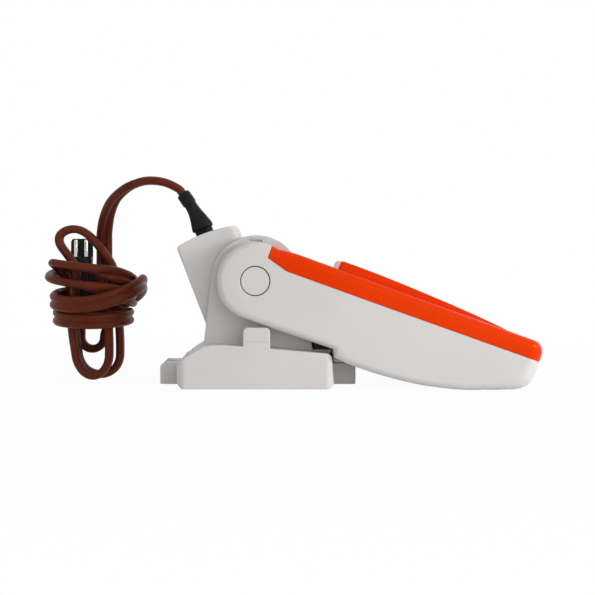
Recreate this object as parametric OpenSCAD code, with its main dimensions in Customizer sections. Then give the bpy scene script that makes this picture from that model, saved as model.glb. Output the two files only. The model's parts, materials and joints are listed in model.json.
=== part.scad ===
// Foot pedal for a sewing machine: a base with a barrel pivot, a forked tilting arm with a
// hinged tread plate on it, and a flat twin flex stowed as a hank. Millimetres, +Z up, the floor at z = 0,
// the origin on the floor under the pivot, +X towards the heel end, +Y away from the near side.

/* [Base] */
// Length of the base block at the floor
base_l = 79.2; // [78:0.2:80]
// Width of the base block
base_w = 80; // [78:1:80]
// Height of the block's top at its back
base_h = 22.7; // [22:0.1:23]
// Height of the block's top at its front
base_front_h = 18.6; // [18:0.1:18.6]
// Gap between the floor and the base shell, filled by the rubber feet
foot_h = 0.6; // [0.5:0.1:1]
// Wall of the base shell
base_wall = 2.6; // [2.4:0.1:3]
// Reach of the rear screw ear from the pivot
rear_ear_end = 49.7; // [49.5:0.1:50.5]
// Reach of the front screw ear from the pivot
front_ear_end = 51.7; // [50.5:0.1:52]
// Width of each screw ear
ear_w = 34; // [30:1:40]
// Height of each screw ear's top
ear_h = 12.1; // [11.5:0.1:12.5]
// Distance between the two floor screw holes
floor_screw_pitch = 90; // [89:0.5:91]
// Radius of the floor screw holes
floor_screw_r = 2.25; // [2:0.05:2.5]
// Radius of each rubber foot
foot_r = 6; // [5:0.5:7]

/* [Pivot] */
// Height of the pivot axis
hub_z = 55; // [54.5:0.1:55.5]
// Radius of the barrel on top of the neck
barrel_r = 23.1; // [22.9:0.1:23.3]
// Width of the barrel
barrel_w = 52; // [50:1:52]
// Thickness of the barrel's side walls
upright_t = 5.5; // [5:0.1:6]
// Radius of the pivot shaft
shaft_r = 6; // [5.5:0.1:6]
// Radius of the shaft's bore
shaft_bore_r = 3.5; // [3:0.1:3.8]

/* [Arm] */
// Slope of the arm at rest, below the horizontal
arm_slope = 20; // [20:0.1:20.4]
// Width of the arm
arm_w = 84; // [83:0.5:85]
// Radius of the rounded cheeks of the fork
cheek_r = 19.7; // [19.5:0.1:20]
// Rounding of the arm's long edges
arm_edge_r = 3.5; // [3:0.1:4]
// Wall of the arm shell and its cover
arm_wall = 2.6; // [2.4:0.1:2.8]
// Clearance of the fork round the barrel
fork_gap = 1.5; // [1.3:0.1:1.6]
// Radius of the caps over the pivot
cap_r = 7.05; // [6.9:0.05:7.1]

/* [Tread] */
// Width of the hinged tread plate
tread_w = 66; // [64:1:66]
// Radius of the tread's hinge pin
tread_pin_r = 1.5; // [1.4:0.1:1.6]
// Number of grip grooves across the tread
groove_count = 11; // [7:1:13]

/* [Cable box] */
// Lean of the cable box from the vertical
box_lean = 21; // [20.5:0.1:21]
// Thickness of the cable box
box_t = 33; // [32:0.5:33]
// Width of the cable box
box_w = 40; // [38:1:40]
// Wall of the cable box
box_wall = 2.2; // [2:0.1:2.4]

/* [Flex] */
// Width of the flat twin flex
flex_w = 8.8; // [8.6:0.1:9]
// Thickness of the flat twin flex
flex_t = 4.4; // [4.2:0.1:4.6]

/* [Hidden] */
$fn = 64;

body_colour = "#cfcdca";
orange_colour = "#e8430c";
black_colour = "#202020";
flex_colour = "#86402f";
steel_colour = "#b9bcc0";
rubber_colour = "#8d8c8a";

// ---- helpers ----

// Points of an arc about c, from angle a to angle b.
function arc(c, r, a, b, n = 6) = [for (i = [0:n]) c + r * [cos(a + (b - a) * i / n), sin(a + (b - a) * i / n)]];

// A closed outline moved inwards by d, for an outline that runs anticlockwise.
function inset(pts, d) = let (n = len(pts)) [for (i = [0:n - 1])
    let (e1 = pts[i] - pts[(i + n - 1) % n], e2 = pts[(i + 1) % n] - pts[i],
        n1 = [-e1.y, e1.x] / norm(e1), n2 = [-e2.y, e2.x] / norm(e2))
    pts[i] + d * (n1 + n2) / (1 + n1 * n2)];

// A solid with an outline in the XZ plane, from y0 to y1.
module slab(pts, y0, y1) translate([0, y1, 0]) rotate([90, 0, 0]) linear_extrude(y1 - y0) polygon(pts);

// A rod along Y at (x, z), from y0 to y1.
module rod_y(x, z, r, y0, y1) translate([x, y1, z]) rotate([90, 0, 0]) cylinder(r = r, h = y1 - y0);

// A rod along Z at (x, y), from z0 to z1.
module rod_z(x, y, r, z0, z1) translate([x, y, z0]) cylinder(r = r, h = z1 - z0);

// A rectangle with round corners, centred.
function round_rect(w, h, r, n = 6) = concat(arc([w / 2 - r, h / 2 - r], r, 0, 90, n),
    arc([r - w / 2, h / 2 - r], r, 90, 180, n), arc([r - w / 2, r - h / 2], r, 180, 270, n),
    arc([w / 2 - r, r - h / 2], r, 270, 360, n));

// The arm's own frame: x along the arm, z square to it, the origin on the pivot axis.
module in_arm() translate([0, 0, hub_z]) rotate([0, arm_slope, 0]) children();

// A point of the arm's frame, in the row's frame.
function from_arm(p) = [p.x * cos(arm_slope) + p.z * sin(arm_slope), p.y,
    hub_z - p.x * sin(arm_slope) + p.z * cos(arm_slope)];

// The cable box's frame: the origin at its top left edge, x across its top, z up along it.
box_corner = [-41.1, 0, 72.2];
module in_box() translate(box_corner) rotate([0, -box_lean, 0]) children();

// A smooth curve through hand-set points, with n steps a span.
function smooth_path(p, n) = concat([for (i = [0:len(p) - 2], k = [0:n - 1])
    let (t = k / n, a = i > 0 ? p[i - 1] : 2 * p[0] - p[1], b = p[i], c = p[i + 1],
        d = i + 2 < len(p) ? p[i + 2] : 2 * p[i + 1] - p[i])
    0.5 * (2 * b + (c - a) * t + (2 * a - 5 * b + 4 * c - d) * t * t
        + (3 * b - a - 3 * c + d) * t * t * t)], [p[len(p) - 1]]);

function unit(v) = v / norm(v);
function tangents(p) = [for (i = [0:len(p) - 1])
    unit(p[min(i + 1, len(p) - 1)] - p[max(i - 1, 0)])];

// One unbroken tube of oval section along p. half is [half width, half thickness] at each ring,
// wide is the direction of its width there, and first is where its first corner lies, in corners.
module sweep(p, wide, half, sides, first = 0.5) {
    t = tangents(p);
    last = len(p) - 1;
    rings = [for (i = [0:last], j = [0:sides - 1])
        let (w = unit(wide[i] - (wide[i] * t[i]) * t[i]), n = cross(t[i], w), a = 360 * (j + first) / sides)
        p[i] + w * half[i][0] * cos(a) + n * half[i][1] * sin(a)];
    walls = [for (i = [0:last - 1], j = [0:sides - 1])
        let (a = i * sides + j, b = i * sides + (j + 1) % sides)
        each [[a, a + sides, b], [b, a + sides, b + sides]]];
    polyhedron(rings, concat(walls, [[for (j = [0:sides - 1]) j]],
        [[for (j = [0:sides - 1]) last * sides + sides - 1 - j]]));
}

// A round wire along hand-set points.
module wire(points, r, steps = 3, sides = 8) {
    p = smooth_path(points, steps);
    sweep(p, [for (i = p) [0.01, 1, 0.02]], [for (i = p) [r, r]], sides);
}

// ---- base ----

base_half = base_l / 2;
block_outline = concat([[-base_half + 2.4, foot_h], [base_half - 2.4, foot_h], [base_half, foot_h + 2.4],
    [38.6, 15.6]], arc([35.6, base_front_h - 3], 3, 12, 86, 4), [[-14, base_h], [-22, base_h],
    [-25.2, 22.1], [-29.6, 20.1], [-34.5, 17], [-36.8, 15], [-38.7, 14.1], [-base_half, 12.6], [-base_half, foot_h + 2.4]]);

// The neck: a barrel on two tangent sides.
barrel_x = 0.4;
neck_outline = concat([[30, 14]], arc([barrel_x, hub_z], barrel_r, 10, 173, 40), [[-27.6, 14]]);

// The space of the cable box, with the clearance c round it.
function box_space(c, low) = [[-c, low], [box_t + c, low], [box_t + c, c], [-c, c]];

tab_x0 = -6.2;
tab_x1 = 7.4;
tab_top = 31.6;
tab_r = 2.5;
tab_t = 4;
tab_outline = concat([[tab_x0, 15], [tab_x1, 15]], arc([tab_x1 - tab_r, tab_top - tab_r], tab_r, 0, 90),
    arc([tab_x0 + tab_r, tab_top - tab_r], tab_r, 90, 180));

ear_x = base_half - 1;
ear_under = foot_h + 0.5;
front_ear_fall = [5.2, 1.9];
rear_ear_fall = [1.8, 1.8];
function ear_outline(end, fall) = [[ear_x - 8, ear_under], [end, ear_under], [end, ear_h - fall.y], [end - fall.x, ear_h],
    [ear_x - 8, ear_h]];
base_screw_x = 31;
base_screw_y = 20;
plate_t = 2;

ear_hollow = 9.4;
screw_seat_r = 4.2;
screw_seat_depth = 2.5;
module ear(end, fall) difference() {
    union() {
        intersection() {
            slab(ear_outline(end, fall), -ear_w / 2, ear_w / 2);
            translate([end - 20, 0, 0]) linear_extrude(ear_h + 1) polygon(round_rect(40, ear_w, 2));
        }
        // the boss stands on the floor with the feet
        rod_z(floor_screw_pitch / 2, 0, screw_seat_r, 0, foot_h + 1);
    }
    rod_z(floor_screw_pitch / 2, 0, floor_screw_r, -1, ear_h + 1);
    rod_z(floor_screw_pitch / 2, 0, screw_seat_r, ear_h - screw_seat_depth, ear_h + 1);
    translate([ear_x - 9, -ear_w / 2 + base_wall, 0]) cube([ear_hollow, ear_w - 2 * base_wall, ear_h - base_wall]);
}

module base_block() intersection() {
    slab(block_outline, -base_w / 2, base_w / 2);
    linear_extrude(40) polygon(round_rect(base_l + 1, base_w, 5));
}

// The ridge on the block's front that the fork's root comes down to.
rest_outline = [[34, 17], [38.1, 16.4], [38.1, 19.2], [37.7, 19.6], [34.4, 19.6]];
rest_half = 24;

module base_hollow() intersection() {
    slab(inset(block_outline, base_wall), -base_w / 2 + base_wall, base_w / 2 - base_wall);
    linear_extrude(40) polygon(round_rect(base_l - 4.2, base_w - 2 * base_wall, 3));
}

module base_shell() color(body_colour) difference() {
    union() {
        difference() {
            union() {
                base_block();
                ear(front_ear_end, front_ear_fall);
                mirror([1, 0, 0]) ear(rear_ear_end, rear_ear_fall);
                for (side = [-1, 1]) slab(tab_outline, min(side * base_w / 2, side * (base_w / 2 - tab_t)),
                    max(side * base_w / 2, side * (base_w / 2 - tab_t)));
            }
            base_hollow();
            translate([-35.6, -36, 0]) cube([71.2, 72, foot_h + plate_t + 0.6]);
        }
        slab(neck_outline, -barrel_w / 2, barrel_w / 2);
        slab(rest_outline, -rest_half, rest_half);
        for (x = [-1, 1], y = [-1, 1])
            rod_z(x * base_screw_x, y * base_screw_y, 3.6, foot_h + plate_t, 17);
    }
    // the neck is hollow between its side walls, and open to the base below
    slab(inset(neck_outline, base_wall), -barrel_w / 2 + upright_t, barrel_w / 2 - upright_t);
    translate([-23.4, -barrel_w / 2 + upright_t, 10]) cube([50, barrel_w - 2 * upright_t, 12]);
    in_box() slab(box_space(0.3, -48), -box_w / 2 - 0.3, box_w / 2 + 0.3);
    rod_y(0, hub_z, shaft_r + 0.02, -barrel_w, barrel_w);
    for (x = [-1, 1], y = [-1, 1]) rod_z(x * base_screw_x, y * base_screw_y, 1.4, 0, 15);
    // detent window at the top of each side wall, and a crease under each tab
    for (side = [-1, 1]) {
        translate([-2.9, side * barrel_w / 2 - 1.2, hub_z + 19.7]) cube([6.4, 2.4, 1]);
        translate([tab_x0 + 0.6, side * base_w / 2 - 0.25, 24]) cube([tab_x1 - tab_x0 - 2, 0.5, 0.5]);
    }
}

module base_plate() color("#8f9194") difference() {
    translate([0, 0, foot_h]) linear_extrude(plate_t) polygon(round_rect(70.8, 71.6, 3));
    for (x = [-1, 1], y = [-1, 1]) {
        rod_z(x * base_screw_x, y * base_screw_y, 1.8, 0, 10);
        rod_z(x * base_screw_x, y * base_screw_y, 3.2, 0, foot_h + 1);
    }
}

module base_screws() color(steel_colour) for (x = [-1, 1], y = [-1, 1]) difference() {
    union() {
        rod_z(x * base_screw_x, y * base_screw_y, 3, foot_h + 0.1, foot_h + 1);
        rod_z(x * base_screw_x, y * base_screw_y, 1.4, foot_h + 1, foot_h + 11);
    }
    translate([x * base_screw_x - 2, y * base_screw_y - 0.35, foot_h]) cube([4, 0.7, 0.6]);
}

foot_x = 20;
foot_y = 24;
module rubber_foot(sx, sy) color(rubber_colour) translate([sx * foot_x, sy * foot_y, 0])
    rotate_extrude() polygon([[0, 0], [foot_r - 0.4, 0], [foot_r, 0.4], [foot_r, foot_h], [0, foot_h]]);

// ---- cable box ----

box_len = 47;
box_round = 2;
boot_hole_r = 4.8;
boot_x = 15.6;
// The box's top is crowned, and its front corners are rounder than its back ones.
box_outline = concat([[0, -box_len], [box_t, -box_len]], arc([box_t - box_round, -box_round - 0.4], box_round, 0, 76, 4),
    [[27.6, 0.35], [23, 0.95], [18.5, 1.25], [14, 1.3], [9.5, 1.1], [5.5, 0.65]], arc([box_round, -box_round + 0.1], box_round, 105, 180, 4));
box_plan = concat(arc([box_t - 4, box_w / 2 - 4], 4, 0, 90), arc([1.5, box_w / 2 - 1.5], 1.5, 90, 180, 4),
    arc([1.5, 1.5 - box_w / 2], 1.5, 180, 270, 4), arc([box_t - 4, 4 - box_w / 2], 4, 270, 360));

module cable_box() color(body_colour) difference() {
    in_box() difference() {
        intersection() {
            slab(box_outline, -box_w / 2, box_w / 2);
            translate([0, 0, -box_len - 1]) linear_extrude(box_len + 3) polygon(box_plan);
        }
        translate([box_wall, -box_w / 2 + box_wall, -box_len - 1]) cube([box_t - 2 * box_wall, box_w - 2 * box_wall, box_len + 1 - box_wall]);
        // the lid's seat on the back
        translate([-1, -box_w / 2 + 3.5, -36]) cube([1 + box_wall + 0.1, box_w - 7, 31]);
        rod_z(boot_x, 0, boot_hole_r, -5, 3);
    }
    rod_y(0, hub_z, shaft_r + 1.2, -40, 40);
}

lid_w = box_w - 7.4;
lid_lip = 1.3;
lid_z0 = -35.8;
lid_z1 = -5.2;
module box_lid() color(body_colour) in_box() difference() {
    union() {
        translate([0.02, -lid_w / 2, lid_z0]) cube([box_wall, lid_w, lid_z1 - lid_z0]);
        translate([box_wall, -lid_w / 2 - lid_lip, lid_z0 + 4]) cube([1.4, lid_w + 2 * lid_lip, lid_z1 - lid_z0 - 8]);
    }
    for (y = [-1, 1]) translate([-1, y * 12, -20.5]) rotate([0, 90, 0]) {
        cylinder(r = 1.6, h = 9);
        cylinder(r = 2.9, h = 2.2);
    }
}

module box_lid_screws() color(steel_colour) in_box() for (y = [-1, 1])
    translate([0, y * 12, -20.5]) rotate([0, 90, 0]) difference() {
        union() {
            translate([0, 0, 0.2]) cylinder(r = 2.7, h = 1);
            translate([0, 0, 1.2]) cylinder(r = 1.5, h = 6);
        }
        translate([-2, -0.35, 0]) cube([4, 0.7, 0.7]);
    }

// The boot bends from the box's lean towards the flex.
boot_start = [-26.54, 0, 77.79];
boot_knee = [-31.1, 0, 89.9];
boot_end = [-39, 0, 100.4];
function boot_at(t) = (1 - t) * (1 - t) * boot_start + 2 * t * (1 - t) * boot_knee + t * t * boot_end;
// Share of the length, half the size in the bend's plane, half the size across it.
boot_rings = [[0, 4.75, 4.75], [0.06, 4.75, 4.75], [0.16, 4.75, 5], [0.175, 5.7, 5.9], [0.225, 5.7, 6], [0.41, 4.5, 5.7], [0.58, 3.5, 5.3],
    [0.73, 3.2, 5.2], [0.745, 3.6, 5.7], [0.8, 3.7, 5.8], [0.97, 3.6, 5.7], [1, 3.3, 5.4]];
module strain_relief() color(black_colour) {
    sweep([for (r = boot_rings) boot_at(r[0])], [for (r = boot_rings) [0, 1, 0]],
        [for (r = boot_rings) [r[2], r[1]]], 20);
    in_box() {
        rod_z(boot_x, 0, 4.75, -box_wall - 1, 0.02);
        rod_z(boot_x, 0, 6.6, -box_wall - 2, -box_wall);
    }
}

module cord_clamp() color("#e4e2dc") in_box() difference() {
    translate([boot_x - 6.5, -12, -16]) cube([9, 24, 5]);
    for (y = [-1, 1]) translate([boot_x - 9, y * 8.8, -13.5]) rotate([0, 90, 0]) cylinder(r = 1.5, h = 30);
    translate([boot_x - 2.4, -4.5, -17]) cube([6, 9, 7]);
}

module cord_clamp_screws() color(steel_colour) in_box() for (y = [-1, 1])
    translate([boot_x - 8, y * 8.8, -13.5]) rotate([0, 90, 0]) {
        cylinder(r = 2.6, h = 1.5);
        translate([0, 0, 1.5]) cylinder(r = 1.4, h = 11);
    }

module terminal_block() color("#e9e6da") difference() {
    translate([-20, 6, foot_h + plate_t]) cube([22, 12, 12]);
    for (i = [0, 1, 2]) {
        rod_z(-16.2 + 7.2 * i, 12, 2, 8, 20);
        rod_y(-16.2 + 7.2 * i, 7.5, 1.5, 0, 30);
    }
}

// Two cores from the boot to the block, and the pair that leaves through the shaft.
module inner_leads() color("#4a3a36") {
    for (s = [0, 1]) wire([[-25 + 4 * s, -1.6 + 3.2 * s, 70], [-21.4 + 4 * s, -1.6 + 3.2 * s, 61],
        [-18 + 3 * s, 0, 48], [-17 + 7.2 * s, 1, 30], [-16.2 + 7.2 * s, 2, 14], [-16.2 + 7.2 * s, 4.2, 8.4],
        [-16.2 + 7.2 * s, 10, 7.5]], 1.1);
}

// ---- pivot ----

clip_y = 31.4;
module pivot_shaft() color(steel_colour) difference() {
    rod_y(0, hub_z, shaft_r, -33, 33);
    rod_y(0, hub_z, shaft_bore_r, -35, 35);
    for (side = [-1, 1]) difference() {
        rod_y(0, hub_z, shaft_r + 1, side * clip_y - 0.5, side * clip_y + 0.5);
        rod_y(0, hub_z, shaft_r - 0.6, -35, 35);
    }
    translate([-2.6, -7, hub_z - 8]) cube([5.2, 14, 8]);
}

module shaft_clip(side) color("#6d7074") difference() {
    rod_y(0, hub_z, 8.6, side * clip_y - 0.4, side * clip_y + 0.4);
    rod_y(0, hub_z, shaft_r - 0.6, -40, 40);
    translate([-2.2, side * clip_y - 2, hub_z - 12]) cube([4.4, 4, 12]);
}

// ---- arm ----

top_v = 19.9;
arm_l = 148.9;
lower_v = -18.9;
notch_u = 48.5;
arm_outline = concat(
    arc([0, 0], cheek_r, 74, 268, 26),
    [[notch_u, lower_v], [50.2, -22.6], [56, -23.3], [63.7, -23.4], [72.2, -23.2], [80.5, -22.6], [88.8, -21.8],
        [96.8, -20.6], [104.8, -18.9], [112.5, -17], [118.1, -15.3], [133.5, -9.7], [137, -8.3], [141.2, -6.9],
        [144.8, -4.9], [146.4, -3.3], [147.9, -1.5], [148.4, 0.8], [148.6, 4], [arm_l, 11]],
    arc([arm_l - 6, top_v - 6], 6, 0, 90, 8), [[15, top_v], [9.5, 19.4]]);

// The arm's outer form: its outline drawn in towards both sides by a quarter round, and its heel end shortened
// there by a wider one, seen from above. Each ring is [distance from the middle, inset].
heel_r = 8;
heel_from = arm_l - 16;
function edge_ring(a) = [arm_w / 2 - arm_edge_r * (1 - cos(a)), arm_edge_r * (1 - sin(a))];
half_rings = concat([1.5 * edge_ring(0) - 0.5 * edge_ring(30)], [for (a = [30, 60, 90]) edge_ring(a)],
    [for (d = [5.6, heel_r]) [arm_w / 2 - d, 0]]);
arm_rings = concat([for (r = half_rings) [-r.x, r.y]], [for (i = [5:-1:0]) half_rings[i]]);
function heel_cut(r) = let (d = heel_r - max(0, arm_w / 2 - abs(r.x))) heel_r - sqrt(heel_r * heel_r - d * d) - r.y;
function arm_ring(r) = let (line = inset(arm_outline, r.y)) [for (i = [0:len(line) - 1])
    [line[i].x - heel_cut(r) * max(0, arm_outline[i].x - heel_from) / (arm_l - heel_from), r.x, line[i].y]];
module arm_form() intersection() {
    n = len(arm_outline);
    last = len(arm_rings) - 1;
    points = [for (r = arm_rings) each arm_ring(r)];
    walls = [for (i = [0:last - 1], j = [0:n - 1]) let (a = i * n + j, b = i * n + (j + 1) % n)
        each [[a, b, a + n], [b, b + n, a + n]]];
    polyhedron(points, concat(walls, [[for (j = [0:n - 1]) n - 1 - j]], [[for (j = [0:n - 1]) last * n + j]]));
    translate([-50, -arm_w / 2, -50]) cube([250, arm_w, 100]);
}

// Above this line is the orange cover, below it the shell.
parting = [[1.9, 30], [1.9, 13], [13, 9.9], [60, 10], [160, 10.6]];
shell_side = concat(parting, [[160, -40], [-40, -40], [-40, 30]]);
cover_side = concat([for (p = parting) p + [0.08, 0.08]], [[160, 30]]);
arm_cavity = inset(arm_outline, arm_wall);
side_in = arm_w / 2 - arm_wall;

// The space of the neck and barrel between the fork's cheeks, with the clearance c.
neck_turn = 30;
function neck_space(c) = let (r = barrel_r + c, drop = (r * sin(neck_turn) + 40) / cos(neck_turn))
    concat([[-40, 40], [-40, -40], [r * cos(neck_turn) + drop * sin(neck_turn), -40]],
        arc([0, 0], r, neck_turn, 90, 12), [[0, 40]]);
fork_half = barrel_w / 2 + 0.9;

cover_screw_u = [55, 127];
cover_screw_y = 36.6;
cover_boss_v = 2;
cover_boss_r = 2.7;
shell_boss_r = 3;
screw_floor = [-22, -10.5];
screw_head_r = 2.1;
spring_u = 52;
spring_y = 22;
spring_seat_v = 0;
board_v = -3;
board_u0 = 60;
board_u1 = 112;
board_y = 24;
board_t = 1.6;
standoffs = [[63, -19], [63, 19], [109, -19], [109, 19]];
heel_x0 = 108;
heel_x1 = 122;
bush_r = 7.4;

heel_in_r = heel_r - arm_wall;
cavity_plan = concat([[-50, -side_in]], arc([arm_l - heel_r, heel_in_r - side_in], heel_in_r, 270, 360),
    arc([arm_l - heel_r, side_in - heel_in_r], heel_in_r, 0, 90), [[-50, side_in]]);
module arm_inside() difference() {
    intersection() {
        slab(arm_cavity, -side_in, side_in);
        translate([0, 0, -50]) linear_extrude(100) polygon(cavity_plan);
    }
    slab(neck_space(fork_gap + arm_wall), -fork_half - arm_wall, fork_half + arm_wall);
}

// The rib across the arm's underside, over the front ear.
arm_rib = [[52.2, -22], [54.4, -22.2], [53.9, -25.4], [52.7, -25.4]];
arm_rib_half = 18;

module arm_shell() color(body_colour) difference() {
    in_arm() {
        difference() {
            intersection() {
                arm_form();
                slab(shell_side, -arm_w, arm_w);
            }
            slab(neck_space(fork_gap), -fork_half, fork_half);
            difference() {
                arm_inside();
                for (i = [0, 1], side = [-1, 1])
                    rod_z(cover_screw_u[i], side * cover_screw_y, shell_boss_r, -30, cover_boss_v);
                for (side = [-1, 1]) rod_z(spring_u, side * spring_y, 5.4, -30, spring_seat_v);
                for (s = standoffs) rod_z(s.x, s.y, 2.6, -30, board_v);
            }
            for (i = [0, 1], side = [-1, 1]) {
                rod_z(cover_screw_u[i], side * cover_screw_y, 1.7, -40, 10);
                rod_z(cover_screw_u[i], side * cover_screw_y, screw_head_r + 0.1, -40, screw_floor[i] + 2);
            }
            for (s = standoffs) rod_z(s.x, s.y, 1.2, board_v - 8, board_v + 1);
            for (side = [-1, 1]) {
                rod_y(0, 0, bush_r + 0.02, side * (fork_half + 1.3) - 1.6, side * (fork_half + 1.3) + 1.6);
                rod_y(0, 0, cap_r + 0.5, side * (arm_w / 2 + 0.4) - 1.9, side * (arm_w / 2 + 0.4) + 1.9);
                rod_y(0, 0, 6.4, side * (arm_w / 2) - 4, side * (arm_w / 2) + 4);
            }
        }
        slab(arm_rib, -arm_rib_half, arm_rib_half);
    }
    translate([heel_x0, -25, -5]) cube([heel_x1 - heel_x0, 50, 5 + 1.5]);
}

well_u0 = 36.4;
well_u1 = 134.9;
well_w = tread_w + 0.8;
well_wall = 1.5;
well_floor_v = 12;
hinge_u = 131;
hinge_v = 16.4;
function well(c) = [for (p = round_rect(well_u1 - well_u0 + 2 * c, well_w + 2 * c, 2 + c, 4))
    p + [(well_u0 + well_u1) / 2, 0]];

module tread_cover() color(orange_colour) in_arm() difference() {
    union() {
        difference() {
            intersection() {
                arm_form();
                slab(cover_side, -arm_w, arm_w);
            }
            slab(neck_space(fork_gap), -fork_half, fork_half);
            arm_inside();
        }
        intersection() {
            translate([0, 0, well_floor_v]) linear_extrude(top_v - well_floor_v - 0.3) polygon(well(well_wall));
            slab(arm_cavity, -side_in, side_in);
        }
        for (i = [0, 1], side = [-1, 1])
            rod_z(cover_screw_u[i], side * cover_screw_y, cover_boss_r, cover_boss_v + 0.1, top_v - 2);
    }
    linear_extrude(40) polygon(well(0));
    for (i = [0, 1], side = [-1, 1])
        rod_z(cover_screw_u[i], side * cover_screw_y, 1.3, 0, 15);
    rod_y(hinge_u, hinge_v, tread_pin_r + 0.01, -tread_w / 2 - 4, tread_w / 2 + 4);
}

module cover_screws() color(steel_colour) in_arm() for (i = [0, 1], side = [-1, 1]) {
    rod_z(cover_screw_u[i], side * cover_screw_y, 1.3, screw_floor[i] + 2, 13);
    rod_z(cover_screw_u[i], side * cover_screw_y, screw_head_r, screw_floor[i] + 0.4, screw_floor[i] + 2);
}

module hub_bush(side) color("#e8e4d4") in_arm() difference() {
    union() {
        rod_y(0, 0, bush_r, min(side * (fork_half - 0.1), side * (fork_half + 3.6)), max(side * (fork_half - 0.1), side * (fork_half + 3.6)));
        rod_y(0, 0, 10.5, min(side * (fork_half - 0.6), side * fork_half), max(side * (fork_half - 0.6), side * fork_half));
    }
    rod_y(0, 0, shaft_r + 0.05, -45, 45);
}

cap_face = arm_w / 2 - 0.05;
module hub_cap(side) color(body_colour) in_arm() {
    rod_y(0, 0, cap_r, min(side * cap_face, side * (cap_face - 1.4)), max(side * cap_face, side * (cap_face - 1.4)));
    difference() {
        rod_y(0, 0, 6.38, min(side * (cap_face - 1.4), side * (cap_face - 4)), max(side * (cap_face - 1.4), side * (cap_face - 4)));
        rod_y(0, 0, 5, side * (cap_face - 3) - 1.6, side * (cap_face - 3) + 1.6);
    }
}

module heel_pad() color(rubber_colour) translate([heel_x0 + 0.1, -24.9, 0]) cube([heel_x1 - heel_x0 - 0.2, 49.8, 1.5]);

sensor_u = 67;
sensor_top_v = 9.6;
slider_r = 2;
module control_board() color("#2f6b3c") in_arm() difference() {
    translate([board_u0, -board_y, board_v]) cube([board_u1 - board_u0, 2 * board_y, board_t]);
    for (s = standoffs) rod_z(s.x, s.y, 1.5, board_v - 1, board_v + 3);
    rod_z(sensor_u, 0, slider_r + 0.6, board_v - 1, board_v + 3);
}

module board_screws() color(steel_colour) in_arm() for (s = standoffs) {
    rod_z(s.x, s.y, 2.4, board_v + board_t, board_v + board_t + 1.4);
    rod_z(s.x, s.y, 1.2, board_v - 5, board_v + board_t);
}

board_top = board_v + board_t;
module slide_sensor() color("#e9e6da") in_arm() difference() {
    translate([sensor_u - 7, -7, board_top]) cube([14, 14, sensor_top_v - board_top]);
    rod_z(sensor_u, 0, slider_r + 0.1, -10, 20);
}

// The power switch with its finned heat sink, and two capacitors.
sink_u = 81;
module board_parts() color("#30343a") in_arm() {
    difference() {
        translate([sink_u, -12, board_top]) cube([16, 24, 7]);
        for (i = [0:3]) translate([sink_u + 2 + 3.4 * i, -13, board_top + 3]) cube([1.8, 26, 5]);
    }
    for (y = [-1, 1]) rod_z(sink_u + 22, y * 7, 4, board_top, board_top + 9);
}

// A boss under the tread pushes the slider down.
slider_head_v = 16.6;
module sensor_slider() color("#efefe8") in_arm() {
    rod_z(sensor_u, 0, slider_r, 3, slider_head_v - 1.2);
    rod_z(sensor_u, 0, 4, slider_head_v - 1.2, slider_head_v);
}

// From the board up through the far cheek into the shaft's bore.
module sensor_lead() color(black_colour) wire([for (p = [[88, 12, 0.8], [87.5, 16, 0.9], [80, 25, 3.5], [64, 30.4, 3.5],
    [42, 32.4, 0], [24, 34.8, -4], [12, 35.8, -4.6], [3.5, 35.8, -2], [0, 34, 0], [0, 30, 0], [0, 12, 0]])
    from_arm(p)], 1.6);

// ---- tread ----

spring_wire_r = 0.6;
spring_r = 4;
spring_turns = 6;
spring_top_v = 21.7;
module tread_spring(side) color(steel_colour) in_arm() {
    rise = spring_top_v - spring_seat_v - 2 * spring_wire_r;
    p = [for (i = [0:spring_turns * 8]) let (t = i / (spring_turns * 8))
        [spring_u + spring_r * cos(45 * i), side * spring_y + spring_r * sin(45 * i),
            spring_seat_v + spring_wire_r + 0.05 + (rise - 0.1) * t]];
    sweep(p, [for (i = p) [0, 0, 1]], [for (i = p) [spring_wire_r, spring_wire_r]], 6);
}

// The tread's top falls from its toe edge to its hinge.
tread_toe_u = 37.3;
tread_l = 97.3;
tread_top = [[128.6, 20], [124.6, 20.5], [118, 21.1], [111.2, 21.7], [98, 22.6], [84.8, 23.3], [71.6, 23.9],
    [58.5, 24.35], [46, 24.5]];
tread_outline = concat([[tread_toe_u, 15], [128, 13.5]], arc([hinge_u, hinge_v], 3.4, -70, 95, 8),
    tread_top, arc([39.1, 22.95], 1.5, 90, 165, 4), [[tread_toe_u, 19.2]]);
tread_under = [[tread_toe_u + 2.2, 10], [126.5, 10], [126.5, 17.4], [85, 20.6], [58, 21.8], [tread_toe_u + 2.2, 21.9]];
groove_pitch = 7.4;
groove_w = 1.6;
groove_from = 43.6;
module tread_plate() color(orange_colour) in_arm() difference() {
    union() {
        difference() {
            intersection() {
                slab(tread_outline, -tread_w / 2, tread_w / 2);
                linear_extrude(40) polygon([for (p = round_rect(tread_l, tread_w, 1.5, 4)) p + [tread_toe_u + tread_l / 2, 0]]);
            }
            slab(tread_under, -tread_w / 2 + 2, tread_w / 2 - 2);
        }
        rod_z(sensor_u, 0, 3.2, slider_head_v + 0.3, 22.4);
    }
    rod_y(hinge_u, hinge_v, tread_pin_r + 0.05, -tread_w, tread_w);
    // grip grooves, cut down from the sloping top
    for (i = [0:groove_count - 1]) let (u = groove_from + i * groove_pitch)
        translate([u, -tread_w / 2 + 7, lookup(u, tread_top) - 0.6]) cube([groove_w, tread_w - 14, 2]);
}

module tread_pin() color(steel_colour) in_arm() rod_y(hinge_u, hinge_v, tread_pin_r, -tread_w / 2 - 1.8, tread_w / 2 + 1.8);

// ---- flex ----

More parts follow.
